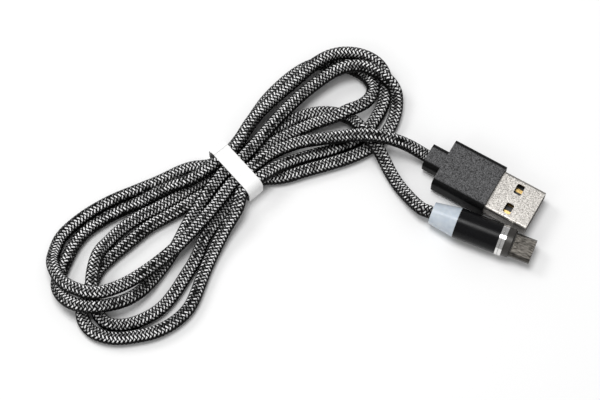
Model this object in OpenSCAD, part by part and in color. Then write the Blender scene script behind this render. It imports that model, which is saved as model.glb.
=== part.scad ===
// Braided charging cable, folded into a hank and held by a flat band. One end is a USB-A plug. The other
// is a round magnetic connector, whose tip pulls off and ends in a micro-USB plug.
// Millimetres, +Z up, lying on the plane z = 0.

/* [Cable] */
// Diameter over the braid
cord_d = 3.6; // [3:0.1:4.4]
// Diameter of each insulated core
core_d = 0.9; // [0.6:0.1:1.1]
// Wall of the crimped clamps on the cable's ends
clamp_wall = 0.4; // [0.3:0.1:0.6]
// Length of the crimped clamps
clamp_l = 1.6; // [1.2:0.2:2.4]

/* [USB plug] */
// Length of the metal case
usb_case_l = 15.4; // [12.8:0.2:20]
// Width of the case
usb_case_w = 14.2; // [13.6:0.2:18]
// Thickness of the case
usb_case_h = 7.4; // [6.6:0.2:10]
// Radius along the case's long edges
usb_case_r = 1.8; // [0.5:0.1:3]
// Thickness of the case's rear wall
usb_end_wall = 1.4; // [0.8:0.2:2.4]
// Length of the neck behind the case
usb_neck_l = 4.8; // [3:0.2:8]
// Width of the neck
usb_neck_w = 7; // [6.4:0.2:9]
// Thickness of the neck
usb_neck_h = 5.6; // [5:0.2:7]

/* [USB shell] */
// Length of shell that stands out of the case
usb_shell_l = 12.4; // [11:0.2:15]
// Length of shell that is held inside the case
usb_shell_in = 6.6; // [4:0.2:8]
// Width of the shell
usb_shell_w = 12; // [11.9:0.05:12.1]
// Height of the shell
usb_shell_h = 4.5; // [4.4:0.05:4.6]
// Thickness of the shell's sheet steel
usb_shell_t = 0.3; // [0.2:0.05:0.4]
// Thickness of the insulating tongue
usb_tongue_t = 1.85; // [1.6:0.05:1.9]

/* [Magnetic connector] */
// Diameter of the tube
mag_tube_d = 8.3; // [7.4:0.1:10]
// Length of the tube
mag_tube_l = 12; // [11.6:0.1:16]
// Wall of the tube
mag_wall = 0.7; // [0.5:0.1:0.9]
// How far the bright rings at the joint stand out of the tube
ring_proud = 0.15; // [0.05:0.05:0.5]
// Length of the rim on the cable's half
mag_rim_l = 0.7; // [0.6:0.1:1.4]
// Length of the clear strain relief
sleeve_l = 7.2; // [5:0.1:10]
// Diameter of the strain relief where the cable enters
sleeve_rear_d = 6; // [5.4:0.1:7]
// Length of the ring magnet
magnet_l = 2.2; // [1.5:0.1:2.6]
// Diameter of the sprung pin's front
pin_d = 0.9; // [0.7:0.1:1.2]
// How far the sprung pin can be pushed in
pin_travel = 0.6; // [0.3:0.1:0.8]

/* [Magnetic tip] */
// Length of the steel ring
tip_ring_l = 0.9; // [0.7:0.1:1.6]
// Diameter of the tip's body
tip_base_d = 7.9; // [7.4:0.1:9]
// Length of the tip's body
tip_base_l = 1.8; // [1.4:0.1:3]
// Length of micro-USB shell that stands out
micro_shell_l = 5.6; // [5:0.1:7]
// Width of the micro-USB shell's wide side
micro_w = 6.85; // [6.8:0.05:6.9]
// Width of the micro-USB shell's narrow side
micro_top_w = 5.4; // [5.2:0.05:5.6]
// Height of the micro-USB shell
micro_h = 1.8; // [1.75:0.05:1.85]
// Thickness of the micro-USB shell's sheet steel
micro_t = 0.25; // [0.2:0.05:0.3]
// How far each hook stands out of the micro-USB shell
hook_out = 0.25; // [0.15:0.05:0.35]

/* [Band] */
// Width of the strip
band_w = 4.8; // [4:0.2:8]
// Size of the band across the hank
band_across = 17.4; // [17.2:0.2:22]
// Height of the band
band_h = 8.6; // [8.4:0.2:12]
// Thickness of the strip
band_t = 0.6; // [0.3:0.1:0.8]

/* [Hidden] */

$fn = 64;
eps = 0.01;

// Clearances: glued and pressed pieces, pieces that slip in, and pieces that run in each other
glue_gap = 0.02;
slip_gap = 0.1;
running_gap = 0.05;
mate_gap = 0.1;

// Places in the plan: where the cable enters the USB plug, and which way each plug points
usb_entry = [14.1, 13.3];
usb_heading = -30;
mag_heading = -22.5;
// The magnetic connector lies beside the USB shell's near front corner, this far from touching it
side_gap = 0.25;
mag_behind_corner = 24.6;
usb_axis_z = usb_case_h / 2;
ring_d = mag_tube_d + 2 * ring_proud;
mag_axis_z = ring_d / 2;
band_centre = [-37.5, 8.8];
band_r = 2.6;
hank_heading = 41;

// Stations along the USB plug, from where the cable enters
usb_case_x = usb_neck_l;
usb_clamp_x = usb_case_x + usb_end_wall;
usb_mould_x = usb_clamp_x + clamp_l;
usb_face_x = usb_case_x + usb_case_l;
usb_mould_end = usb_face_x - usb_shell_in;
usb_mouth_x = usb_face_x + usb_shell_l;
cord_short = 0.2;
usb_cord_end = usb_mould_x - cord_short;
clamp_bore = cord_d + 2 * running_gap;
clamp_d = clamp_bore + 2 * clamp_wall;
cord_bore = cord_d + 2 * slip_gap;
usb_pocket_w = usb_shell_w + 2 * glue_gap;
usb_pocket_h = max(usb_shell_h, clamp_d) + 2 * glue_gap;
usb_shell_r = 0.7;
usb_tongue_top = -usb_shell_h / 2 + usb_shell_t + usb_tongue_t;
usb_tongue_w = usb_shell_w - 2 * usb_shell_r;
usb_tongue_back = 0.5;
contact_t = 0.2;
contact_w = 1;
contact_places = [[-3.5, 1], [-1, 1.8], [1, 1.8], [3.5, 1]];
window_x = 5.8;
window_y = 3.05;
window_size = [2.2, 3];
window_r = 0.5;
dimple_x = 2.7;
dimple_size = [1.4, 2.8];
dimple_r = 0.65;
dimple_depth = 0.2;
core_y = 0.75;

// Stations along the magnetic connector, from where the cable enters
mag_tube_x = sleeve_l;
mag_bore_d = mag_tube_d - 2 * mag_wall;
spigot_l = 2;
sleeve_step = 0.1;
mag_clamp_x = mag_tube_x + spigot_l;
mag_mould_x = mag_clamp_x + clamp_l;
mag_cord_end = mag_mould_x - cord_short;
mag_rim_x = mag_tube_x + mag_tube_l;
mag_face_x = mag_rim_x + mag_rim_l;
magnet_recess = 0.4;
magnet_x = mag_face_x - magnet_recess - magnet_l;
bush_d = 3;
flange_l = 0.7;
bush_x = magnet_x - slip_gap - flange_l;
barrel_l = 3.6;
barrel_x = bush_x - barrel_l;
barrel_end_wall = 0.4;
shank_d = pin_d + 0.3;
spring_bore = shank_d - 0.3;
barrel_bore = shank_d + 2 * running_gap;
barrel_d = barrel_bore + 0.7;
shank_l = 1.5;
shank_x = bush_x - running_gap - shank_l;
board_t = 0.8;
board_x = barrel_x - board_t;
lamp_size = [0.5, 1.6, 0.8];
lamp_y = 2;

// Stations along the tip
tip_x = mag_face_x + mate_gap;
tip_base_x = tip_x + tip_ring_l;
boss_x = tip_base_x + tip_base_l;
boss_l = 0.4;
boss_h = 3;
boss_w = 7.3;
boss_r = 1.2;
micro_x = tip_base_x + 0.5;
micro_face_x = boss_x + boss_l;
micro_end = micro_face_x + micro_shell_l;
tip_bore_d = 5;
pad_d = 1.6;
pad_t = 0.8;
micro_side_z = -0.05;
micro_slope = atan2(micro_h / 2 - micro_side_z, (micro_w - micro_top_w) / 2);
micro_tongue_w = 4.4;
micro_tongue_t = 0.55;
micro_tongue_z = micro_h / 2 - micro_t - micro_tongue_t - glue_gap;
micro_contact_pitch = 0.65;
micro_contact_w = 0.3;
micro_contact_t = 0.12;
micro_tongue_back = 0.4;
micro_contact_back = 0.7;
latch_y = 2.3;
latch_w = 0.5;
latch_t = 0.15;
latch_x = micro_face_x + 0.5;
latch_l = 4.2;
latch_z = -micro_h / 2 + micro_t + running_gap;
hook_x = latch_x + 2.7;
hook_l = 0.8;

function turned(p, a) = [p[0] * cos(a) - p[1] * sin(a), p[0] * sin(a) + p[1] * cos(a)];
function heading(a) = [cos(a), sin(a)];

usb_corner = usb_entry + turned([usb_mouth_x, -usb_shell_w / 2], usb_heading);
mag_entry = usb_corner - mag_behind_corner * heading(mag_heading)
    + (ring_d / 2 + side_gap) * heading(mag_heading - 90);

function on_usb(x) = concat(usb_entry + x * heading(usb_heading), [usb_axis_z]);
function on_mag(x) = concat(mag_entry + x * heading(mag_heading), [mag_axis_z]);

// The two leads, from where they come out of the hank to inside their plugs
usb_lead = [
    [2.5, 17.1, 8.7], [5.5, 16.6, 7.4], [9, 15.9, 5.2], on_usb(-1.5), on_usb(3), on_usb(usb_cord_end)
];
tip_lead = [
    [1.5, 14, 4.4], [2.8, 11.3, 2.9], [4.1, 8.8, 2], [6, 5.6, 2], [8.3, 2.5, 2.6],
    on_mag(-3.5), on_mag(0), on_mag(mag_cord_end / 2), on_mag(mag_cord_end)
];
tube_sides = 8;
lead_root_l = 5;
hank_core_r = 2;
hank_left_h = 8.4;
hank_right_h = 7.6;

// A bar along +X with a rectangular section and rounded long edges
module rounded_bar(l, w, h, r) {
    rotate([90, 0, 90]) linear_extrude(l) rounded_rectangle(w, h, r);
}

module rounded_rectangle(w, h, r) {
    square([w - 2 * r, h], center = true);
    square([w, h - 2 * r], center = true);
    for (x = [-1, 1], y = [-1, 1])
        translate([x * (w / 2 - r), y * (h / 2 - r)]) circle(r);
}

// A rod along +X, and a bored one
module rod(x, l, d) {
    translate([x, 0, 0]) rotate([0, 90, 0]) cylinder(h = l, d = d);
}

module ring(x, l, d, bore) {
    difference() {
        rod(x, l, d);
        rod(x - 1, l + 2, bore);
    }
}

// A flat block along +X, centred on y and standing on z
module bar(x, l, y, w, z, h) {
    translate([x, y - w / 2, z]) cube([l, w, h]);
}

// A round rod from one point to another, run on past both by "more"
module rod_between(a, b, d, more = 0) {
    step = b - a;
    translate(a - more * step / norm(step))
        rotate([0, acos(step[2] / norm(step)), atan2(step[1], step[0])])
            cylinder(h = norm(step) + 2 * more, d = d);
}

// The cable as a tube: one ring of points across each route point, square to the way the cable runs there
function unit(v) = v / norm(v);
function run_at(p, i) = unit(p[min(i + 1, len(p) - 1)] - p[max(i - 1, 0)]);
function ring_at(p, i, r) =
    let (t = run_at(p, i), side = unit(cross([0, 0, 1], t)), up = cross(t, side))
    [for (k = [0 : tube_sides - 1])
        p[i] + r * (cos(360 * k / tube_sides) * side + sin(360 * k / tube_sides) * up)];

module tube(points, d) {
    n = len(points);
    rings = [for (i = [0 : n - 1]) each ring_at(points, i, d / 2)];
    walls = [for (i = [0 : n - 2], k = [0 : tube_sides - 1])
        let (a = i * tube_sides + k, b = i * tube_sides + (k + 1) % tube_sides)
        each [[a, b, a + tube_sides], [b, b + tube_sides, a + tube_sides]]];
    first = [for (k = [tube_sides - 1 : -1 : 0]) k];
    last = [for (k = [0 : tube_sides - 1]) (n - 1) * tube_sides + k];
    polyhedron(rings, concat(walls, [first, last]), convexity = 6);
}

module at_usb() {
    translate(on_usb(0)) rotate([0, 0, usb_heading]) children();
}

module at_mag() {
    translate(on_mag(0)) rotate([0, 0, mag_heading]) children();
}

module at_band() {
    translate(concat(band_centre, [0])) rotate([0, 0, hank_heading]) children();
}

// USB-A plug

module usb_housing() color("#3b3b3d") at_usb() difference() {
    translate([usb_case_x, 0, 0]) rounded_bar(usb_case_l, usb_case_w, usb_case_h, usb_case_r);
    bar(usb_clamp_x, usb_case_l, 0, usb_pocket_w, -usb_pocket_h / 2, usb_pocket_h);
    rod(usb_case_x - 1, usb_end_wall + 2, cord_bore);
}

module usb_neck() color("#363638") at_usb() difference() {
    rounded_bar(usb_neck_l, usb_neck_w, usb_neck_h, usb_case_r);
    rod(-1, usb_neck_l + 2, cord_bore);
}

module usb_shell() color("#c9c4bc") at_usb() difference() {
    translate([usb_mould_end, 0, 0])
        rounded_bar(usb_shell_in + usb_shell_l, usb_shell_w, usb_shell_h, usb_shell_r);
    translate([usb_mould_end - 1, 0, 0])
        rounded_bar(usb_shell_in + usb_shell_l + 2, usb_shell_w - 2 * usb_shell_t,
            usb_shell_h - 2 * usb_shell_t, usb_shell_r - usb_shell_t);
    for (side = [-1, 1])
        translate([usb_face_x + window_x, side * window_y, -usb_shell_h])
            linear_extrude(2 * usb_shell_h) rounded_rectangle(window_size[0], window_size[1], window_r);
    translate([usb_face_x + dimple_x, 0, usb_shell_h / 2 - dimple_depth])
        linear_extrude(1) rounded_rectangle(dimple_size[0], dimple_size[1], dimple_r);
}

module usb_tongue() color("#1c1c1e") at_usb()
    bar(usb_mould_end, usb_shell_in + usb_shell_l - usb_tongue_back, 0, usb_tongue_w,
        usb_tongue_top - usb_tongue_t, usb_tongue_t);

module usb_contacts() color("#c9a24a") at_usb()
    for (c = contact_places)
        bar(usb_mould_end, usb_shell_in + usb_shell_l - usb_tongue_back - c[1], c[0], contact_w,
            usb_tongue_top, contact_t);

// Each core leaves the cable's end, fans out through the mould and meets an outer contact
module usb_core(side, d) {
    rod_between([usb_cord_end, side * core_y, 0],
        [usb_mould_end, side * contact_places[3][0], usb_tongue_top], d, more = 2);
}

module usb_wire(side) {
    intersection() {
        usb_core(side, core_d);
        bar(usb_cord_end, usb_mould_end - usb_cord_end, 0, usb_shell_w, -usb_shell_h, 2 * usb_shell_h);
    }
}

module usb_inner_mould() color("#d8d5cc") at_usb() difference() {
    bar(usb_mould_x, usb_mould_end - usb_mould_x, 0, usb_pocket_w - 2 * glue_gap,
        glue_gap - usb_pocket_h / 2, usb_pocket_h - 2 * glue_gap);
    for (side = [-1, 1]) usb_core(side, core_d + 2 * glue_gap);
}

module usb_cable_clamp() color("#a8a6a0") at_usb() ring(usb_clamp_x, clamp_l, clamp_d, clamp_bore);

module usb_supply_wire() color("#b0302a") at_usb() usb_wire(1);

module usb_return_wire() color("#242426") at_usb() usb_wire(-1);

// Cable: the two halves of the hank, as plain solids of their outer shape, and the two leads

module cable_hank_left() color("#2b2b2d") {
    linear_extrude(hank_left_h) difference() {
        hull() {
            translate([-76.8, -16.8]) circle(11.5, $fn = 32);
            translate([-65.6, -25.7]) circle(14, $fn = 32);
            translate(band_centre) rotate(hank_heading) translate([-7, 0]) square([2, 15], center = true);
        }
        hull() {
            translate([-57, -9]) circle(1.5, $fn = 32);
            translate([-69, -19]) circle(3, $fn = 32);
            translate([-60, -17]) circle(2.5, $fn = 32);
        }
    }
    at_band() hank_core(-6.5, 6.5);
}

module cable_hank_right() color("#2b2b2d") {
    linear_extrude(hank_right_h) difference() {
        hull() {
            translate([-6.6, 28.9]) circle(13.7, $fn = 32);
            translate([-7, 31.8]) circle(13, $fn = 32);
            translate([-17, 32.8]) circle(9.7, $fn = 32);
            translate(band_centre) rotate(hank_heading) translate([7, 0]) square([2, 15], center = true);
        }
        hull() {
            translate([-15, 27.6]) circle(2, $fn = 32);
            translate([-7.4, 31.4]) circle(3.6, $fn = 32);
        }
    }
    at_band() hank_core(0, 6.5);
    lead_root(usb_lead);
    lead_root(tip_lead);
}

// The hank's waist, where the band holds it
module hank_core(x, l) {
    translate([x, 0, band_h / 2])
        rounded_bar(l, band_across - 2 * band_t - 2 * slip_gap, band_h - 2 * band_t - 2 * slip_gap, hank_core_r);
}

// The end of the hank that a lead goes on from, face to face
module lead_root(points) {
    rod_between(points[0] - lead_root_l * unit(points[1] - points[0]), points[0], cord_d);
}

module cable_usb_lead() color("#2b2b2d") tube(usb_lead, cord_d);

module cable_tip_lead() color("#2b2b2d") tube(tip_lead, cord_d);

module tie_band() color("#f4f4f2") at_band()
    translate([-band_w / 2, 0, band_h / 2]) difference() {
        rounded_bar(band_w, band_across, band_h, band_r);
        translate([-1, 0, 0])
            rounded_bar(band_w + 2, band_across - 2 * band_t, band_h - 2 * band_t, band_r - band_t);
    }

// Magnetic connector, the half on the cable

module mag_sleeve() color("#bccbd8") at_mag() difference() {
    union() {
        rotate([0, 90, 0]) cylinder(h = sleeve_l, d1 = sleeve_rear_d, d2 = mag_tube_d - sleeve_step);
        rod(mag_tube_x - eps, spigot_l + eps, mag_bore_d - 2 * glue_gap);
    }
    rod(-1, sleeve_l + spigot_l + 2, cord_bore);
}

module mag_housing() color("#161618") at_mag() ring(mag_tube_x, mag_tube_l, mag_tube_d, mag_bore_d);

module mag_rim() color("#dcdcdc") at_mag() ring(mag_rim_x, mag_rim_l, ring_d, mag_bore_d);

module ring_magnet() color("#b9b9bb") at_mag()
    ring(magnet_x, magnet_l, mag_bore_d - 2 * running_gap, bush_d + 2 * running_gap);

module contact_insulator() color("#1d1d1f") at_mag() difference() {
    union() {
        rod(bush_x, flange_l, mag_bore_d - 2 * glue_gap);
        rod(bush_x, mag_face_x - slip_gap - bush_x, bush_d);
    }
    rod(bush_x - 1, mag_face_x - bush_x + 2, pin_d + 2 * running_gap);
}

module pin_barrel() color("#c8a850") at_mag() difference() {
    rod(barrel_x, barrel_l, barrel_d);
    rod(barrel_x + barrel_end_wall, barrel_l, barrel_bore);
}

module pin_spring() color("#b8b8ba") at_mag()
    ring(barrel_x + barrel_end_wall, shank_x - pin_travel - running_gap - barrel_x - barrel_end_wall,
        shank_d, spring_bore);

module contact_pin() color("#d8b457") at_mag() {
    rod(shank_x, shank_l, shank_d);
    rod(shank_x + shank_l - eps, mag_face_x - pin_d / 2 + running_gap - shank_x - shank_l + eps, pin_d);
    translate([mag_face_x - pin_d / 2 + running_gap, 0, 0]) sphere(d = pin_d);
}

module circuit_board() color("#1f6a3c") at_mag() rod(board_x, board_t, mag_bore_d - 2 * glue_gap);

module indicator_lamp() color("#cfe4ff") at_mag()
    bar(board_x - lamp_size[0], lamp_size[0], lamp_y, lamp_size[1], -lamp_size[2] / 2, lamp_size[2]);

function mag_core(side) = [[mag_cord_end, side * core_y, 0], [board_x, side * core_y, 0]];

module mag_inner_mould() color("#d8d5cc") at_mag() difference() {
    rod(mag_mould_x, board_x - mag_mould_x, mag_bore_d - 2 * glue_gap);
    for (side = [-1, 1])
        rod_between(mag_core(side)[0], mag_core(side)[1], core_d + 2 * glue_gap, more = 1);
    bar(board_x - lamp_size[0] - glue_gap, 2, lamp_y, lamp_size[1] + 2 * glue_gap,
        -lamp_size[2] / 2 - glue_gap, lamp_size[2] + 2 * glue_gap);
}

module mag_cable_clamp() color("#a8a6a0") at_mag() ring(mag_clamp_x, clamp_l, clamp_d, clamp_bore);

module mag_supply_wire() color("#b0302a") at_mag() rod_between(mag_core(1)[0], mag_core(1)[1], core_d);

module mag_return_wire() color("#242426") at_mag() rod_between(mag_core(-1)[0], mag_core(-1)[1], core_d);

// Magnetic tip, the half that stays in the phone

module tip_ring() color("#d4d4d6") at_mag() ring(tip_x, tip_ring_l, ring_d, tip_bore_d);

module tip_pad_insulator() color("#1d1d1f") at_mag()
    ring(tip_x, tip_ring_l, tip_bore_d - 2 * glue_gap, pad_d + 2 * glue_gap);

module tip_contact_pad() color("#d8b457") at_mag() rod(tip_x + running_gap, pad_t, pad_d);

// The micro-USB section, drawn in by an even inset
function micro_half(i) = [
    [micro_w / 2 - i, i - micro_h / 2],
    [micro_w / 2 - i, micro_side_z - i * tan((90 - micro_slope) / 2)],
    [micro_top_w / 2 - i * tan(micro_slope / 2), micro_h / 2 - i]
];

module micro_bar(x, l, inset) {
    half = micro_half(inset);
    translate([x, 0, 0]) rotate([90, 0, 90]) linear_extrude(l)
        polygon(concat(half, [for (k = [2 : -1 : 0]) [-half[k][0], half[k][1]]]));
}

module tip_base() color("#4a4a4d") at_mag() difference() {
    union() {
        rod(tip_base_x, tip_base_l, tip_base_d);
        translate([boss_x - eps, 0, 0]) rounded_bar(boss_l + eps, boss_w, boss_h, boss_r);
    }
    micro_bar(micro_x, micro_end, -glue_gap);
}

module hook_slots() {
    for (side = [-1, 1])
        bar(hook_x - slip_gap, hook_l + 2 * slip_gap, side * latch_y, latch_w + 2 * slip_gap,
            -micro_h, micro_h - micro_t);
}

module micro_shell() color("#8d8a86") at_mag() difference() {
    micro_bar(micro_x, micro_end - micro_x, 0);
    micro_bar(micro_x - 1, micro_end - micro_x + 2, micro_t);
    hook_slots();
}

module micro_tongue() color("#161618") at_mag()
    bar(micro_x, micro_end - micro_tongue_back - micro_x, 0, micro_tongue_w, micro_tongue_z, micro_tongue_t);

module micro_contacts() color("#c9a24a") at_mag()
    for (k = [-2 : 2])
        bar(micro_x, micro_end - micro_contact_back - micro_x, k * micro_contact_pitch, micro_contact_w,
            micro_tongue_z - micro_contact_t, micro_contact_t);

// One sprung strip with its hook, which stands out through a slot in the shell's wide side
module latch(side) {
    bar(latch_x, latch_l, side * latch_y, latch_w, latch_z, latch_t);
    translate([hook_x, side * latch_y + latch_w / 2, latch_z + eps]) rotate([90, 0, 0])
        linear_extrude(latch_w)
            polygon([[0, 0], [0, latch_z_drop()], [hook_l / 3, latch_z_drop()], [hook_l, 0]]);
}

function latch_z_drop() = -micro_h / 2 - hook_out - latch_z;

module latch_left() color("#c9c4bc") at_mag() latch(1);

module latch_right() color("#c9c4bc") at_mag() latch(-1);

usb_housing();
usb_neck();
usb_shell();
usb_tongue();
usb_contacts();
usb_inner_mould();
usb_cable_clamp();
usb_supply_wire();
usb_return_wire();
cable_hank_left();
cable_hank_right();
cable_usb_lead();
cable_tip_lead();
tie_band();
mag_sleeve();
mag_housing();
mag_rim();
ring_magnet();
contact_insulator();
pin_barrel();
pin_spring();
contact_pin();
circuit_board();
indicator_lamp();
mag_inner_mould();
mag_cable_clamp();
mag_supply_wire();
mag_return_wire();
tip_ring();
tip_base();
tip_pad_insulator();
tip_contact_pad();
micro_shell();
micro_tongue();
micro_contacts();
latch_left();
latch_right();
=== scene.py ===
import math

import bmesh
import bpy
import numpy as np
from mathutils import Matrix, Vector


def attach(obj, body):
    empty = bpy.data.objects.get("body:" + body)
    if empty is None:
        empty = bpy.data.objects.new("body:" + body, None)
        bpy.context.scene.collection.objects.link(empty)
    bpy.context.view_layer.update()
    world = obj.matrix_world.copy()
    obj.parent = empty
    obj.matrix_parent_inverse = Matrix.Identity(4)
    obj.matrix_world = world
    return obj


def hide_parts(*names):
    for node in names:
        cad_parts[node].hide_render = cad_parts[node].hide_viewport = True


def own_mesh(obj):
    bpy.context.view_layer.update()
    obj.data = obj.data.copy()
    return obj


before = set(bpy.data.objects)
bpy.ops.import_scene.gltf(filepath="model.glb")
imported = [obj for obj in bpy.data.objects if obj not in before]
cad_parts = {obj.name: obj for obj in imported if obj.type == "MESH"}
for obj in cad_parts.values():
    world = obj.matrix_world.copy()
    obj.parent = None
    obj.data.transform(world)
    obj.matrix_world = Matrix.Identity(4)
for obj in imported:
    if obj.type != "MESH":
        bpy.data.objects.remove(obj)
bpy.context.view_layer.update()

# Camera. The cable lies flat and is seen from its near side, high up, with a long lens that keeps the two
# plugs and the hank nearly in true proportion.
view_centre = Vector((-0.0204, 0.0022, 0.0))
view_elevation = math.radians(70)
view_distance = 0.606
lens_length = 135.0

camera_data = bpy.data.cameras.new("camera")
camera_data.lens = lens_length
camera_data.sensor_width = 36.0
camera_data.clip_start = 0.01
camera = bpy.data.objects.new("camera", camera_data)
view_direction = Vector((0, -math.cos(view_elevation), math.sin(view_elevation)))
camera.location = view_centre + view_distance * view_direction
camera.rotation_euler = (math.pi / 2 - view_elevation, 0, 0)
bpy.context.collection.objects.link(camera)
bpy.context.scene.camera = camera
bpy.context.scene.view_settings.view_transform = "Standard"


# Floor and light. A plain near-white sheet in an even surround, with a soft light overhead that reaches
# into the loops and two weaker ones from the left, so the shadows are faint and fall to the right.
def new_material(name):
    material = bpy.data.materials.new(name)
    material.use_nodes = True
    return material, material.node_tree.nodes, material.node_tree.links


def finish_sockets(material, **values):
    shader = material.node_tree.nodes["Principled BSDF"]
    for socket, value in values.items():
        shader.inputs[socket.replace("_", " ")].default_value = value
    return shader


def soft_light(name, place, target, size, power):
    data = bpy.data.lights.new(name, "AREA")
    data.shape = "DISK"
    data.size = size
    data.energy = power
    light = bpy.data.objects.new(name, data)
    light.location = place
    light.rotation_euler = (Vector(target) - Vector(place)).to_track_quat("-Z", "Y").to_euler()
    bpy.context.collection.objects.link(light)


floor_mesh = bpy.data.meshes.new("floor")
floor_mesh.from_pydata([(-3, -3, 0), (3, -3, 0), (3, 3, 0), (-3, 3, 0)], [], [(0, 1, 2, 3)])
floor = bpy.data.objects.new("floor", floor_mesh)
bpy.context.collection.objects.link(floor)
floor_paint, _, _ = new_material("floor")
finish_sockets(floor_paint, Base_Color=(0.93, 0.93, 0.93, 1), Roughness=0.7)
floor_mesh.materials.append(floor_paint)

soft_light("overhead", (-0.1, 0.1, 0.9), (0, 0, 0), 0.4, 4.4)
soft_light("upper_left", (-0.45, 0.35, 0.6), (0, 0, 0), 0.3, 1.4)
soft_light("near_left", (-0.5, -0.45, 0.6), (0, 0, 0), 0.3, 0.4)
world = bpy.data.worlds.new("studio")
world.use_nodes = True
world.node_tree.nodes["Background"].inputs["Color"].default_value = (1.0, 1.0, 1.0, 1)
world.node_tree.nodes["Background"].inputs["Strength"].default_value = 0.42
bpy.context.scene.world = world


# Cable. One braided cable runs from the USB plug back and forth through the band, four loops to the left
# and three to the right, and on to the magnetic connector. Glossy black yarns with silver-white flecks are
# braided over it; the flecks are partly white yarn and partly painted highlights on the glossy black. The
# route below is followed loosely: the strands then push each other apart.
mm = 0.001
cord_d = 3.6 * mm
cord_r = cord_d / 2


def turned(x, y, degrees):
    c, s = math.cos(math.radians(degrees)), math.sin(math.radians(degrees))
    return Vector((x * c - y * s, x * s + y * c, 0))


usb_heading = -30
mag_heading = -22.5
hank_heading = 41
usb_entry = Vector((0.0141, 0.0133, 0.0037))
band_centre = Vector((-0.0375, 0.0088, 0.0))
usb_mouth = 0.0326
usb_shell_corner = usb_entry + turned(usb_mouth, -0.006, usb_heading)
mag_entry = usb_shell_corner - turned(0.0246, 0, mag_heading) + turned(0, -0.00455, mag_heading)
mag_entry.z = 0.0043


def on_usb(x, y=0.0, z=0.0):
    return usb_entry + turned(x, y, usb_heading) + Vector((0, 0, z))


def on_mag(x, y=0.0, z=0.0):
    return mag_entry + turned(x, y, mag_heading) + Vector((0, 0, z))


# Places in the band: how far in from its upper left end, and which of the two layers
layer_heights = (0.0025, 0.0061)
band_inner_end = 0.0081
band_run = 0.0038


def in_band(along, inward, layer):
    across = turned(along, band_inner_end - inward, hank_heading)
    return band_centre + across + Vector((0, 0, layer_heights[layer]))


def through_band(inward, layer, leftward):
    run = (band_run, 0.0, -band_run) if leftward else (-band_run, 0.0, band_run)
    return [in_band(along, inward, layer) for along in run]


def points(*route):
    return [Vector(p) * mm for p in route]


usb_lead = [on_usb(0.0076), on_usb(0.003), on_usb(-0.0015)] + points(
    (9, 15.9, 5.2), (5.5, 16.6, 7.4), (2.5, 17.1, 8.7))
tip_lead = points((1.5, 14, 4.4), (2.8, 11.3, 2.9), (4.1, 8.8, 2), (6, 5.6, 2), (8.3, 2.5, 2.6))
tip_lead += [on_mag(-0.0035), on_mag(0), on_mag(0.0053), on_mag(0.0106)]

route = usb_lead
route += points((-1, 17.5, 9), (-4.5, 17.8, 8.5), (-9.5, 17.8, 7), (-15, 17.6, 5.5), (-20.5, 17, 5),
                (-24.5, 15.5, 5), (-28.5, 13.5, 5.5))
route += through_band(0.0105, 1, leftward=True)
# Left: out to the far loop and back
route += points((-43, -1.5, 5.5), (-48.5, -8, 5.5), (-53.9, -13.9, 5.5), (-61.7, -20.7, 6.5),
                (-67.5, -24.6, 7.5), (-74.4, -27.1, 9), (-80.2, -25.1, 8), (-83.6, -22.7, 6.5),
                (-85.1, -19.8, 5.5), (-86.1, -16.3, 3.5), (-85.6, -12.9, 2), (-84.6, -9.5, 2),
                (-79.7, -4.6, 2), (-72.4, -0.2, 2), (-60.2, 5.6, 2), (-49.5, 11, 2))
route += through_band(0.0020, 0, leftward=False)
# Right: up, round and back across the inside
route += points((-33, 25, 2), (-29.5, 30.5, 2), (-21, 38.8, 2), (-16.5, 41.2, 2), (-10.7, 41.4, 2),
                (-6, 39.8, 2), (-2, 37.5, 2.5), (0, 33.2, 3.5), (-1.8, 28.8, 5), (-5.7, 26.4, 5.5),
                (-9.5, 24.8, 5), (-15, 23.5, 3.5), (-20.5, 21.5, 2.5), (-30.5, 17, 2.5))
route += through_band(0.0092, 0, leftward=True)
# Left: the lowest loop
route += points((-45, 5, 2.5), (-52.4, -0.7, 2), (-60.2, -5.6, 2), (-68, -12.4, 2), (-71, -14.4, 2),
                (-73.9, -17.3, 2), (-75.3, -21.2, 2), (-76.8, -25.6, 2), (-78.3, -30, 2),
                (-77.3, -33.4, 2), (-75.3, -35.6, 2), (-72.4, -36.8, 2), (-68, -37.3, 2),
                (-64.1, -36.8, 2), (-58.8, -35.8, 2), (-53.4, -32.9, 2), (-49.5, -29, 2),
                (-47.5, -24, 2), (-45.5, -18, 2), (-44, -14.5, 2), (-42, -10.5, 2.5),
                (-40.5, -7.5, 3.5), (-38.5, -4.5, 4.5), (-36.5, -1.5, 5.5))
route += through_band(0.0142, 1, leftward=False)
# Right: across the near side and over the top
route += points((-25.5, 10.5, 4), (-20.5, 13, 2.5), (-16.5, 14.5, 2), (-9.5, 16, 2), (-5.5, 18, 2),
                (-2.8, 20.5, 2), (0, 24.5, 2), (2.2, 28.4, 2), (3.4, 33.2, 2), (3.3, 37.4, 2.5),
                (1.2, 40.6, 4), (-2.6, 42.5, 5), (-7, 43.2, 5.5), (-11.2, 42.7, 5.5),
                (-15.2, 40.7, 5.5), (-23, 33.5, 5.5), (-28.5, 28.5, 5.5), (-33.5, 22.7, 6))
route += through_band(0.0032, 1, leftward=True)
# Left: the second loop
route += points((-51, 5, 3.5), (-54.9, 3.7, 2.5), (-60.2, 1.7, 2), (-68, -0.7, 2), (-75.8, -5.6, 2),
                (-80.2, -10.5, 2), (-82.7, -15.8, 2), (-84.1, -18.8, 2), (-85.1, -21.7, 2.5),
                (-84.6, -24.1, 3.5), (-83.2, -26.6, 4.5), (-80.2, -29, 6), (-76.8, -30, 6.5),
                (-71.5, -29.5, 6), (-66.1, -27.6, 4.5), (-61.2, -23.6, 3), (-58.8, -20.2, 2),
                (-56.3, -16.8, 2), (-53.4, -11.9, 2), (-52, -9, 2), (-50, -5, 3), (-47, -0.5, 4.5))
route += through_band(0.0068, 1, leftward=False)
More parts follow.
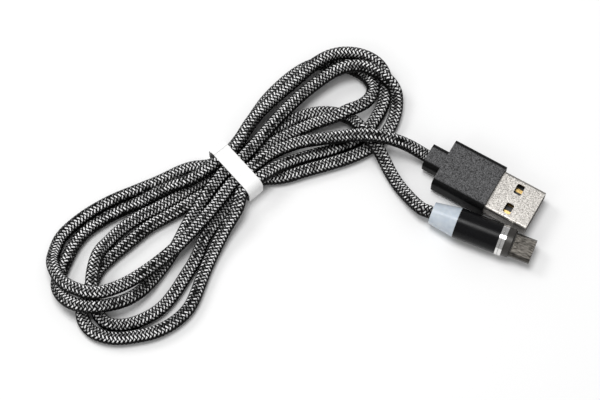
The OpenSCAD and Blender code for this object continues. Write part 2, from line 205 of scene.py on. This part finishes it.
# Right: the outermost loop
route += points((-25.5, 25, 5), (-20.5, 30.3, 5), (-15, 35, 5), (-11, 37.8, 5.5), (-7, 39.3, 5.5),
                (-4.2, 39.3, 5.5), (-1, 38.3, 5.5), (1.8, 36.8, 5.5), (4.4, 34.2, 4.5), (6, 31.4, 2.5),
                (6, 27.6, 2), (5, 24.2, 2), (3.6, 21.4, 2), (0.8, 18, 2), (-3, 15.5, 2), (-7, 14, 2),
                (-15, 11, 2), (-20.5, 9.5, 2), (-24.5, 8, 2))
route += through_band(0.0132, 0, leftward=True)
# Left: the inner loop
route += points((-38.5, 0.5, 2), (-41.5, -3, 2), (-44.5, -7, 2), (-46.5, -10.5, 2), (-48, -15.5, 2),
                (-50.5, -19.5, 2), (-53.4, -24.6, 2), (-57.3, -29.5, 2), (-62.2, -32.4, 2),
                (-66.6, -33.9, 2), (-70.5, -33.9, 2), (-72.4, -32.9, 2), (-73.9, -30.5, 2.5),
                (-74.9, -28, 3.5), (-75.3, -24.6, 5.5), (-75.3, -20.7, 5.5), (-74.4, -16.8, 4.5),
                (-72.9, -12.9, 3), (-70.5, -9.5, 2), (-68.5, -7.1, 2), (-65.1, -4.6, 2),
                (-60.2, -1.2, 2), (-52.4, 3.2, 2), (-47, 5.5, 2.5))
route += through_band(0.0055, 0, leftward=False)
# Right: under the first crossing, over the next two and on to the magnetic connector
route += points((-25.5, 22.5, 2), (-23, 24.5, 2), (-17.5, 26.5, 2), (-13.5, 27, 2), (-9.5, 26.5, 2),
                (-6.5, 25, 3), (-4.5, 22, 5), (-3, 19.5, 5.5), (-0.5, 16.5, 5.5))
route += tip_lead


def spaced_out(line, step):
    """The smooth curve through a list of points, as points a fixed step apart."""
    p = np.array(line, dtype=float)
    p = np.vstack([2 * p[0] - p[1], p, 2 * p[-1] - p[-2]])
    knots = np.concatenate([[0], np.cumsum(np.sqrt(np.linalg.norm(np.diff(p, axis=0), axis=1)))])
    fine = []
    for i in range(1, len(p) - 2):
        t0, t1, t2, t3 = knots[i - 1:i + 3]
        t = np.linspace(t1, t2, 12, endpoint=False)[:, None]
        a1 = (t1 - t) / (t1 - t0) * p[i - 1] + (t - t0) / (t1 - t0) * p[i]
        a2 = (t2 - t) / (t2 - t1) * p[i] + (t - t1) / (t2 - t1) * p[i + 1]
        a3 = (t3 - t) / (t3 - t2) * p[i + 1] + (t - t2) / (t3 - t2) * p[i + 2]
        b1 = (t2 - t) / (t2 - t0) * a1 + (t - t0) / (t2 - t0) * a2
        b2 = (t3 - t) / (t3 - t1) * a2 + (t - t1) / (t3 - t1) * a3
        fine.append((t2 - t) / (t2 - t1) * b1 + (t - t1) / (t2 - t1) * b2)
    fine = np.vstack(fine + [p[-2][None]])
    along = np.concatenate([[0], np.cumsum(np.linalg.norm(np.diff(fine, axis=0), axis=1))])
    marks = np.linspace(0, along[-1], int(round(along[-1] / step)) + 1)
    return np.stack([np.interp(marks, along, fine[:, k]) for k in range(3)], axis=1)


def firmly_held(p):
    """True where the cable is inside a plug or the band and can't move."""
    spots = [Vector(q) for q in p]
    side = np.array([(q - band_centre).xy @ turned(1, 0, hank_heading).xy for q in spots])
    across = np.array([(q - band_centre).xy @ turned(0, 1, hank_heading).xy for q in spots])
    in_strap = (np.abs(side) < 3.5 * mm) & (np.abs(across) < 9 * mm)
    at_neck = np.array([(q - on_usb(0)).length < 1.6 * mm for q in spots])
    in_neck = np.array([(q - on_usb(0.004)).length < 4.5 * mm for q in spots])
    in_mag = np.array([(q - on_mag(0.006)).length < 9.5 * mm for q in spots])
    return in_strap | at_neck | in_neck | in_mag


bend_smoothing = 0.35
hold_to_route = np.array([0.06, 0.06, 0.03])
push_share = 0.42
largest_push = 0.6 * mm
neighbours_in_line = 9


def settled(line, step=1.1 * mm, rounds=260):
    """Strands that would lie in each other are pushed apart, and the cable keeps smooth bends."""
    p = spaced_out(line, step)
    wished = p.copy()
    held = firmly_held(p)
    count = len(p)
    near_in_line = np.abs(np.arange(count)[:, None] - np.arange(count)[None]) < neighbours_in_line
    for turn in range(rounds):
        middle = (p[:-2] + p[2:]) / 2
        p[1:-1] += bend_smoothing * (middle - p[1:-1])
        p += (wished - p) * hold_to_route
        gap = p[:, None] - p[None]
        distance = np.sqrt((gap ** 2).sum(axis=2)) + 1e-9
        distance[near_in_line] = 1.0
        short = np.clip(cord_d * 0.995 - distance, 0, None)
        push = (gap / distance[..., None] * short[..., None] * push_share).sum(axis=1)
        size = np.linalg.norm(push, axis=1, keepdims=True) + 1e-12
        p += push * np.minimum(1, largest_push / size)
        p[:, 2] = np.maximum(p[:, 2], cord_r)
        p[held] = wished[held]
    return p


strand = settled(route)
centreline = spaced_out(strand, 0.22 * mm)

# The braid: twelve rows of short floats round the cable, slanting one way and the other in turn
braid_pitch = 1.05 * mm
braid_rows = 12
braid_sides = 48
float_relief = 0.10 * mm


def braid_tube(name, line):
    count = len(line)
    run = np.gradient(line, axis=0)
    run /= np.linalg.norm(run, axis=1, keepdims=True)
    side = np.zeros_like(line)
    side[0] = np.cross((0, 0, 1), run[0])
    side[0] /= np.linalg.norm(side[0])
    for i in range(1, count):
        s = side[i - 1] - run[i] * (side[i - 1] @ run[i])
        side[i] = s / np.linalg.norm(s)
    up = np.cross(run, side)
    along = np.concatenate([[0], np.cumsum(np.linalg.norm(np.diff(line, axis=0), axis=1))])
    angle = np.arange(braid_sides) / braid_sides
    a = along[:, None] / braid_pitch + angle[None] * braid_rows / 2
    b = along[:, None] / braid_pitch - angle[None] * braid_rows / 2
    pillow = np.sqrt(np.abs(np.sin(math.pi * a) * np.sin(math.pi * b)))
    radius = cord_r - float_relief + float_relief * pillow
    turn = 2 * math.pi * angle
    spots = line[:, None] + radius[..., None] * (
        np.cos(turn)[None, :, None] * side[:, None] + np.sin(turn)[None, :, None] * up[:, None])
    i, k = np.meshgrid(np.arange(count - 1), np.arange(braid_sides), indexing="ij")
    nxt = (k + 1) % braid_sides
    quads = np.stack([i * braid_sides + k, i * braid_sides + nxt, (i + 1) * braid_sides + nxt,
                      (i + 1) * braid_sides + k], axis=-1).reshape(-1, 4)
    caps = [list(range(braid_sides - 1, -1, -1)),
            list(range((count - 1) * braid_sides, count * braid_sides))]
    mesh = bpy.data.meshes.new(name)
    mesh.from_pydata(spots.reshape(-1, 3).tolist(), [], quads.tolist() + caps)
    layer = mesh.uv_layers.new(name="braid")
    around = np.stack([k, k + 1, k + 1, k], axis=-1).reshape(-1, 4) / braid_sides
    lengthwise = np.stack([along[i], along[i], along[i + 1], along[i + 1]], axis=-1).reshape(-1, 4)
    uv = np.zeros((len(mesh.loops), 2), dtype=np.float32)
    uv[:quads.size, 0] = (lengthwise / braid_pitch).ravel()
    uv[:quads.size, 1] = around.ravel()
    layer.data.foreach_set("uv", uv.ravel())
    mesh.polygons.foreach_set("use_smooth", [True] * len(mesh.polygons))
    piece = bpy.data.objects.new(name, mesh)
    bpy.context.collection.objects.link(piece)
    return piece


def node(nodes, kind, **settings):
    made = nodes.new(kind)
    for key, value in settings.items():
        setattr(made, key, value)
    return made


def maths(tree, operation, *inputs):
    made = tree.nodes.new("ShaderNodeMath")
    made.operation = operation
    for socket, value in zip(made.inputs, inputs):
        if isinstance(value, (int, float)):
            socket.default_value = value
        else:
            tree.links.new(value, socket)
    return made.outputs[0]


def group_with(name, takes, gives):
    """A shader node group with named inputs and outputs, and its input and output nodes."""
    tree = bpy.data.node_groups.new(name, "ShaderNodeTree")
    for label, kind, value in takes:
        socket = tree.interface.new_socket(label, in_out="INPUT", socket_type=kind)
        if value is not None:
            socket.default_value = value
    for label, kind in gives:
        tree.interface.new_socket(label, in_out="OUTPUT", socket_type=kind)
    return tree, tree.nodes.new("NodeGroupInput"), tree.nodes.new("NodeGroupOutput")


def float_mask(tree, along_cell, across_cell):
    """1 on one float of yarn, which is long one way and narrow the other, and 0 beside it."""
    long_way = maths(tree, "ABSOLUTE", maths(tree, "SUBTRACT", along_cell, 0.5))
    short_way = maths(tree, "ABSOLUTE", maths(tree, "SUBTRACT", across_cell, 0.5))
    reach = maths(tree, "MULTIPLY", long_way, 0.42)
    edge = maths(tree, "SUBTRACT", maths(tree, "MAXIMUM", reach, short_way), 0.15)
    fall = maths(tree, "MULTIPLY", edge, 9.0)
    return maths(tree, "SUBTRACT", 1.0, maths(tree, "MAXIMUM", maths(tree, "MINIMUM", fall, 1.0), 0.0))


def braid_group():
    tree, takes, gives = group_with(
        "braided_yarns", [("Rows", "NodeSocketFloat", 12.0)],
        [("Float", "NodeSocketFloat"), ("Fleck With Painted Light", "NodeSocketFloat")])
    uv = node(tree.nodes, "ShaderNodeUVMap", uv_map="braid")
    split = tree.nodes.new("ShaderNodeSeparateXYZ")
    tree.links.new(uv.outputs[0], split.inputs[0])
    half_rows = maths(tree, "MULTIPLY", takes.outputs["Rows"], 0.5)
    round_it = maths(tree, "MULTIPLY", split.outputs["Y"], half_rows)
    a = maths(tree, "ADD", split.outputs["X"], round_it)
    b = maths(tree, "SUBTRACT", split.outputs["X"], round_it)
    a_cell, b_cell = maths(tree, "FLOOR", a), maths(tree, "FLOOR", b)
    a_in, b_in = maths(tree, "SUBTRACT", a, a_cell), maths(tree, "SUBTRACT", b, b_cell)
    row_count = maths(tree, "SUBTRACT", a_cell, b_cell)
    row = maths(tree, "FLOORED_MODULO", row_count, 2.0)
    one_way, other_way = float_mask(tree, a_in, b_in), float_mask(tree, b_in, a_in)
    mix = tree.nodes.new("ShaderNodeMix")
    tree.links.new(row, mix.inputs["Factor"])
    tree.links.new(one_way, mix.inputs[2])
    tree.links.new(other_way, mix.inputs[3])
    yarn = mix.outputs[0]
    cell = tree.nodes.new("ShaderNodeCombineXYZ")
    tree.links.new(a_cell, cell.inputs[0])
    tree.links.new(b_cell, cell.inputs[1])
    chance = tree.nodes.new("ShaderNodeTexWhiteNoise")
    chance.noise_dimensions = "2D"
    tree.links.new(cell.outputs[0], chance.inputs["Vector"])
    # Long stretches where more of the flecks have turned to the outside than elsewhere
    drift = tree.nodes.new("ShaderNodeTexNoise")
    stretch = tree.nodes.new("ShaderNodeVectorMath")
    stretch.operation = "MULTIPLY"
    stretch.inputs[1].default_value = (0.05, 6.0, 1.0)
    tree.links.new(uv.outputs[0], stretch.inputs[0])
    tree.links.new(stretch.outputs[0], drift.inputs["Vector"])
    drift.inputs["Scale"].default_value = 1.0
    amount = maths(tree, "ADD", maths(tree, "MULTIPLY", drift.outputs["Fac"], 1.5),
                   maths(tree, "MULTIPLY", chance.outputs["Value"], 0.55))
    shown = maths(tree, "SUBTRACT", amount, 0.32)
    clipped = tree.nodes.new("ShaderNodeClamp")
    tree.links.new(shown, clipped.inputs[0])
    # Every third row is of duller yarn
    third_row = maths(tree, "MINIMUM", maths(tree, "FLOORED_MODULO", row_count, 3.0), 1.0)
    flecked_row = maths(tree, "MAXIMUM", third_row, 0.5)
    # Painted shade and highlight: the flecks are painted brightest where the cable faces up
    # and darker down its sides, in place of the light from above
    facing = tree.nodes.new("ShaderNodeNewGeometry")
    upward = tree.nodes.new("ShaderNodeSeparateXYZ")
    tree.links.new(facing.outputs["Normal"], upward.inputs[0])
    slope = maths(tree, "MULTIPLY", maths(tree, "SUBTRACT", upward.outputs["Z"], 0.35), 2.2)
    lit = maths(tree, "MINIMUM", maths(tree, "MAXIMUM", slope, 0.15), 1.0)
    # White floats, partly white yarn and partly painted glints on the glossy black
    white_float_and_painted_glint = maths(tree, "MULTIPLY", yarn, clipped.outputs[0])
    fleck_with_painted_light = maths(tree, "MULTIPLY", white_float_and_painted_glint, maths(tree, "MULTIPLY", flecked_row, lit))
    tree.links.new(yarn, gives.inputs["Float"])
    tree.links.new(fleck_with_painted_light, gives.inputs["Fleck With Painted Light"])
    return tree


def ramp(nodes, links, factor, *stops):
    made = nodes.new("ShaderNodeValToRGB")
    while len(made.color_ramp.elements) < len(stops):
        made.color_ramp.elements.new(0.5)
    for element, (place, colour) in zip(made.color_ramp.elements, stops):
        element.position = place
        element.color = (*colour, 1) if not isinstance(colour, float) else (colour, colour, colour, 1)
    links.new(factor, made.inputs[0])
    return made.outputs[0]


def bump(nodes, links, height, distance, strength=1.0):
    made = nodes.new("ShaderNodeBump")
    made.inputs["Distance"].default_value = distance
    made.inputs["Strength"].default_value = strength
    links.new(height, made.inputs["Height"])
    return made.outputs["Normal"]


def braid_material():
    material, nodes, links = new_material("black_braid")
    yarns = nodes.new("ShaderNodeGroup")
    yarns.node_tree = braid_group()
    yarns.inputs["Rows"].default_value = braid_rows
    shader = finish_sockets(material, Specular_IOR_Level=0.08)
    # Painted light in the base colour: the white flecks are partly white yarn and partly painted glints
    yarn_colour_with_painted_light = ramp(nodes, links, yarns.outputs["Fleck With Painted Light"],
                       (0.0, 0.0012), (0.16, 0.005), (0.42, 0.42), (0.75, 0.95))
    links.new(yarn_colour_with_painted_light, shader.inputs["Base Color"])
    yarn_gloss = ramp(nodes, links, yarns.outputs["Float"], (0.0, 0.7), (0.7, 0.25))
    links.new(yarn_gloss, shader.inputs["Roughness"])
    links.new(bump(nodes, links, yarns.outputs["Float"], 0.00016, 1.0), shader.inputs["Normal"])
    return material


cable = braid_tube("cable", centreline)
cable.data.materials.append(braid_material())
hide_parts("cable_hank_left", "cable_hank_right", "cable_usb_lead", "cable_tip_lead")
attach(cable, "cable")


# Band. One turn and a bit of soft white strap round the waist of the hank, its end lapped over its start at
# the near end. It is cut from a flat woven tape, so its edges are straight and a little rounded.
strap_width = 4.8 * mm
strap_thick = 0.28 * mm
strap_across = 17.4 * mm
strap_height = 8.6 * mm
strap_corner = 2.6 * mm
strap_lap = 5.0 * mm


def strap_line():
    """The strap's middle line, seen along the hank: from the near end, once round, and over its start."""
    half_w = strap_across / 2 - 1.5 * strap_thick
    half_h = strap_height / 2 - 1.5 * strap_thick
    r = strap_corner - 1.5 * strap_thick
    corners = [(half_w - r, half_h - r, 0), (r - half_w, half_h - r, 90), (r - half_w, r - half_h, 180),
               (half_w - r, r - half_h, 270)]
    ring = [(half_w, z) for z in np.linspace(0, half_h - r, 4)[:-1]]
    for x, z, start in corners:
        ring += [(x + r * math.cos(math.radians(start + a)), z + r * math.sin(math.radians(start + a)))
                 for a in range(0, 91, 10)]
        if start == 0:
            ring += [(x, half_h) for x in np.linspace(half_w - r, r - half_w, 40)[1:-1]]
        if start == 180:
            ring += [(x, -half_h) for x in np.linspace(r - half_w, half_w - r, 40)[1:-1]]
    ring += [(half_w, z) for z in np.linspace(r - half_h, 0, 4)[1:]]
    line = np.array(ring)
    around = np.concatenate([[0], np.cumsum(np.linalg.norm(np.diff(line, axis=0), axis=1))])
    marks = np.linspace(0, around[-1] + strap_lap, 260)
    spot = np.stack([np.interp(marks % around[-1], around, line[:, k]) for k in (0, 1)], axis=1)
    ahead = np.stack([np.interp((marks + 1e-5) % around[-1], around, line[:, k]) for k in (0, 1)], axis=1)
    lead = (ahead - spot) / np.linalg.norm(ahead - spot, axis=1, keepdims=True)
    outward = np.stack([lead[:, 1], -lead[:, 0]], axis=1)
    # The start lies inside, and the lapped end rides up over it
    ease = 1 / (1 + np.exp(-(marks - around[-1] + 1.5 * mm) / (0.35 * mm)))
    ripple = 0.05 * mm * np.cos(marks / (3.6 * mm) * 2 * math.pi) * (np.abs(spot[:, 1]) > half_h - 1e-5)
    lift = ease * (strap_thick + 0.02 * mm) - ripple - strap_thick * 0.4
    return spot + outward * lift[:, None], outward


def strap():
    spots, outward = strap_line()
    bm = bmesh.new()
    edge = strap_thick / 2
    profile = [(-strap_width / 2 + edge * (1 - math.sin(math.radians(a))), edge * math.cos(math.radians(a)))
               for a in (0, 30, 60, 90, 120, 150, 180)]
    profile = profile[::-1] + [(-x, -y) for x, y in profile[::-1]]
    rows = []
    for spot, out in zip(spots, outward):
        row = []
        for along, lift in profile:
            across, up = spot + out * lift
            place = band_centre + turned(along, across, hank_heading)
            row.append(bm.verts.new((place.x, place.y, strap_height / 2 + up)))
        rows.append(row)
    for first, second in zip(rows, rows[1:]):
        for k in range(len(profile)):
            n = (k + 1) % len(profile)
            bm.faces.new((first[k], first[n], second[n], second[k]))
    bm.faces.new(rows[0][::-1])
    bm.faces.new(rows[-1])
    bmesh.ops.recalc_face_normals(bm, faces=bm.faces)
    mesh = bpy.data.meshes.new("strap")
    bm.to_mesh(mesh)
    bm.free()
    mesh.polygons.foreach_set("use_smooth", [True] * len(mesh.polygons))
    mesh.set_sharp_from_angle(angle=math.radians(50))
    piece = bpy.data.objects.new("strap", mesh)
    bpy.context.collection.objects.link(piece)
    return piece


def grain_group():
    """Fine grain and broad smudges over a surface, both stretched along the piece as it was polished."""
    tree, takes, gives = group_with(
        "grain_and_smudges",
        [("Grain Size", "NodeSocketFloat", 0.2), ("Smudge Size", "NodeSocketFloat", 3.0),
         ("Stretch", "NodeSocketFloat", 1.0), ("Heading", "NodeSocketFloat", 0.0)],
        [("Grain", "NodeSocketFloat"), ("Smudge", "NodeSocketFloat")])
    place = tree.nodes.new("ShaderNodeTexCoord")
    turn = node(tree.nodes, "ShaderNodeVectorRotate", rotation_type="Z_AXIS")
    tree.links.new(place.outputs["Object"], turn.inputs["Vector"])
    tree.links.new(takes.outputs["Heading"], turn.inputs["Angle"])
    shape = tree.nodes.new("ShaderNodeCombineXYZ")
    shape.inputs[1].default_value = shape.inputs[2].default_value = 1.0
    tree.links.new(maths(tree, "DIVIDE", 1.0, takes.outputs["Stretch"]), shape.inputs[0])
    drawn = node(tree.nodes, "ShaderNodeVectorMath", operation="MULTIPLY")
    tree.links.new(turn.outputs[0], drawn.inputs[0])
    tree.links.new(shape.outputs[0], drawn.inputs[1])
    for label, size, detail in (("Grain", "Grain Size", 3.0), ("Smudge", "Smudge Size", 2.0)):
        noise = tree.nodes.new("ShaderNodeTexNoise")
        noise.inputs["Detail"].default_value = detail
        tree.links.new(drawn.outputs[0], noise.inputs["Vector"])
        tree.links.new(maths(tree, "DIVIDE", 1000.0, takes.outputs[size]), noise.inputs["Scale"])
        tree.links.new(noise.outputs["Fac"], gives.inputs[label])
    return tree


grain = grain_group()


def finish(name, dark, light, rough, grain_size, depth,
           smudge_size=3.0, stretch=1.0, heading=0.0, **sockets):
    """A material that runs from its dark colour to its light one with the grain, and from one roughness to
    another with the smudges. Sizes are in millimetres."""
    material, nodes, links = new_material(name)
    surface = nodes.new("ShaderNodeGroup")
    surface.node_tree = grain
    surface.inputs["Grain Size"].default_value = grain_size
    surface.inputs["Smudge Size"].default_value = smudge_size
    surface.inputs["Stretch"].default_value = stretch
    surface.inputs["Heading"].default_value = -math.radians(heading)
    shader = finish_sockets(material, **sockets)
    links.new(ramp(nodes, links, surface.outputs["Grain"], (0.3, dark), (0.7, light)),
              shader.inputs["Base Color"])
    links.new(ramp(nodes, links, surface.outputs["Smudge"], (0.3, rough[0]), (0.7, rough[1])),
              shader.inputs["Roughness"])
    links.new(bump(nodes, links, surface.outputs["Grain"], depth * mm), shader.inputs["Normal"])
    return material


band_strap = strap()
white_weave = finish("white_strap", (0.86, 0.86, 0.85), (0.95, 0.95, 0.95), (0.75, 0.9), 0.22, 0.03,
                     Sheen_Weight=0.15)
band_strap.data.materials.append(white_weave)
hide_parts("tie_band")
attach(band_strap, "cable")


# USB-A plug. A rectangular metal case, blasted and anodised charcoal, with painted shade darkening its
# rounded long sides, and a short neck that the cable goes in through. The cable's end is crimped inside, and
# its cores run to the contacts.
def dressed(material, *names, edge=0.0):
    """Gives the frame's own pieces their finish, with smooth round faces and, if asked, eased edges."""
    for name in names:
        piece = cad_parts[name]
        piece.data.materials.clear()
        piece.data.materials.append(material)
        piece.data.polygons.foreach_set("use_smooth", [True] * len(piece.data.polygons))
        piece.data.set_sharp_from_angle(angle=math.radians(32))
        if edge:
            eased = piece.modifiers.new("eased_edges", "BEVEL")
            eased.width = edge
            eased.segments = 2
            eased.limit_method = "ANGLE"
            eased.angle_limit = math.radians(50)
            eased.harden_normals = True


def anodised_with_painted_shade():
    """Blasted on the flat faces, with painted shade: the colour is darkened to near black where the surface
    turns away to the sides.
    """
    material = finish("charcoal_case", (0.002, 0.002, 0.0022), (0.17, 0.17, 0.174), (0.45, 0.55), 0.28,
                      0.025, heading=usb_heading, Specular_IOR_Level=0.07)
    nodes, links = material.node_tree.nodes, material.node_tree.links
    # Painted shade: the base colour is multiplied down to near black wherever the surface turns from straight
    # up
    facing = nodes.new("ShaderNodeNewGeometry")
    upward = nodes.new("ShaderNodeSeparateXYZ")
    links.new(facing.outputs["Normal"], upward.inputs[0])
    shade = nodes.new("ShaderNodeMix")
    shade.data_type = "RGBA"
    shade.blend_type = "MULTIPLY"
    shade.inputs["Factor"].default_value = 1.0
    base = nodes["Principled BSDF"].inputs["Base Color"]
    links.new(base.links[0].from_socket, shade.inputs[6])
    links.new(ramp(nodes, links, upward.outputs["Z"], (0.93, 0.05), (0.997, 1.0)), shade.inputs[7])
    links.new(shade.outputs[2], base)
    return material


nickel_shell = finish("nickel_shell", (0.14, 0.132, 0.122), (0.62, 0.595, 0.56), (0.34, 0.46), 0.3, 0.02,
                      stretch=1.3, heading=usb_heading, Metallic=1.0)
black_tongue = finish("black_tongue", (0.012, 0.012, 0.012), (0.022, 0.022, 0.022), (0.35, 0.45), 0.5, 0.003)
gold = finish("gold_contact", (0.78, 0.52, 0.18), (0.90, 0.66, 0.30), (0.16, 0.3), 0.15, 0.003,
              stretch=4, heading=usb_heading, Metallic=1.0)
pale_mould = finish("pale_mould", (0.55, 0.53, 0.47), (0.68, 0.66, 0.60), (0.5, 0.65), 0.6, 0.02)
crimped_steel = finish("crimped_steel", (0.34, 0.33, 0.31), (0.52, 0.51, 0.49), (0.25, 0.45), 0.12, 0.01,
                       stretch=6, heading=usb_heading, Metallic=1.0)
red_core = finish("red_core", (0.36, 0.02, 0.015), (0.46, 0.035, 0.025), (0.35, 0.5), 0.8, 0.004)
black_core = finish("black_core", (0.012, 0.012, 0.012), (0.02, 0.02, 0.02), (0.35, 0.5), 0.8, 0.004)

dressed(anodised_with_painted_shade(), "usb_housing", "usb_neck", edge=0.18 * mm)
dressed(nickel_shell, "usb_shell", edge=0.1 * mm)
dressed(black_tongue, "usb_tongue")
dressed(gold, "usb_contacts", edge=0.03 * mm)
dressed(pale_mould, "usb_inner_mould", "mag_inner_mould")
dressed(crimped_steel, "usb_cable_clamp", "mag_cable_clamp", edge=0.06 * mm)
dressed(red_core, "usb_supply_wire", "mag_supply_wire")
dressed(black_core, "usb_return_wire", "mag_return_wire")


# Magnetic connector. A milky clear strain relief is pushed into a gloss black metal tube with a bright plated
# rim. Inside are a small lamp on a round board, the ring magnet and the sprung centre contact.
milky_sleeve = finish("milky_sleeve", (0.45, 0.51, 0.58), (0.58, 0.63, 0.68), (0.28, 0.42), 2.2, 0.01,
                      smudge_size=1.5, Coat_Weight=0.25, Coat_Roughness=0.15, Subsurface_Weight=0.25,
                      Subsurface_Radius=(0.5, 0.6, 0.8), Subsurface_Scale=0.002)
black_tube = finish("black_tube", (0.003, 0.003, 0.0035), (0.007, 0.007, 0.008), (0.2, 0.3), 0.18, 0.006,
                    smudge_size=1.2, stretch=3, heading=mag_heading, Specular_IOR_Level=0.13)
bright_plating = finish("bright_plating", (0.70, 0.69, 0.68), (0.86, 0.85, 0.84), (0.08, 0.2), 0.3, 0.004,
                        Metallic=1.0)
plated_magnet = finish("plated_magnet", (0.42, 0.41, 0.40), (0.60, 0.59, 0.58), (0.15, 0.3), 0.2, 0.006,
                       Metallic=1.0)
black_plastic = finish("black_plastic", (0.012, 0.012, 0.012), (0.024, 0.024, 0.024), (0.4, 0.55), 0.3,
                       0.006)
green_board = finish("green_board", (0.012, 0.085, 0.035), (0.02, 0.13, 0.055), (0.25, 0.4), 0.25, 0.006)
clear_lamp = finish("clear_lamp", (0.72, 0.80, 0.88), (0.82, 0.88, 0.94), (0.1, 0.2), 0.8, 0.002)

dressed(milky_sleeve, "mag_sleeve", edge=0.15 * mm)
dressed(black_tube, "mag_housing", edge=0.08 * mm)
dressed(bright_plating, "mag_rim", "tip_ring", edge=0.22 * mm)
dressed(plated_magnet, "ring_magnet", edge=0.1 * mm)
dressed(black_plastic, "contact_insulator", "tip_pad_insulator", "micro_tongue")
dressed(gold, "contact_pin", "pin_barrel", "tip_contact_pad")
dressed(green_board, "circuit_board", edge=0.03 * mm)
dressed(clear_lamp, "indicator_lamp", edge=0.08 * mm)

# The pin's spring, a coil of fine wire between the barrel's closed end and the pin's shank
spring_wire = 0.14 * mm
spring_radius = 0.5 * mm
spring_turns = 6


def least_along_mag(name):
    """How far from the cable's entry a piece of the magnetic connector starts."""
    way = turned(1, 0, mag_heading)
    return min((v.co - mag_entry).dot(way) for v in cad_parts[name].data.vertices)


spring_back = least_along_mag("pin_spring")
spring_front = least_along_mag("contact_pin")


def coil_spring():
    bm = bmesh.new()
    steps = spring_turns * 24
    rings = []
    for i in range(steps + 1):
        turn = 2 * math.pi * spring_turns * i / steps
        # The end turns lie flat
        ease = 0.5 - 0.5 * math.cos(math.pi * i / steps)
        x = spring_back + spring_wire / 2 + (spring_front - spring_back - spring_wire) * ease
        ring = []
        for k in range(8):
            a = 2 * math.pi * k / 8
            r = spring_radius + spring_wire / 2 * math.cos(a)
            spot = on_mag(x + spring_wire / 2 * math.sin(a), r * math.cos(turn), r * math.sin(turn))
            ring.append(bm.verts.new(spot))
        rings.append(ring)
    for first, second in zip(rings, rings[1:]):
        for k in range(8):
            n = (k + 1) % 8
            bm.faces.new((first[k], first[n], second[n], second[k]))
    bm.faces.new(rings[0][::-1])
    bm.faces.new(rings[-1])
    bmesh.ops.recalc_face_normals(bm, faces=bm.faces)
    mesh = bpy.data.meshes.new("coil_spring")
    bm.to_mesh(mesh)
    bm.free()
    mesh.polygons.foreach_set("use_smooth", [True] * len(mesh.polygons))
    piece = bpy.data.objects.new("coil_spring", mesh)
    bpy.context.collection.objects.link(piece)
    return piece


spring_steel = finish("spring_steel", (0.44, 0.44, 0.43), (0.62, 0.62, 0.61), (0.2, 0.35), 0.1, 0.003,
                      Metallic=1.0)
spring = coil_spring()
spring.data.materials.append(spring_steel)
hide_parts("pin_spring")
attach(spring, "cable")
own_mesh(spring)


# Tip. A bright steel ring that the magnet holds, a dark grey body, and a folded dark nickel micro-USB shell
# with a black tongue and two sprung hooks on its wide side.
grey_tip = finish("grey_tip", (0.026, 0.024, 0.022), (0.055, 0.051, 0.047), (0.35, 0.48), 0.15, 0.008,
                  Metallic=0.3)
dark_nickel = finish("dark_nickel", (0.015, 0.014, 0.012), (0.17, 0.158, 0.142), (0.2, 0.34), 0.32, 0.02,
                     stretch=4, heading=mag_heading, Metallic=1.0)
dressed(grey_tip, "tip_base", edge=0.18 * mm)
dressed(dark_nickel, "micro_shell", edge=0.08 * mm)
dressed(gold, "micro_contacts")
dressed(spring_steel, "latch_left", "latch_right", edge=0.02 * mm)


bpy.context.view_layer.update()
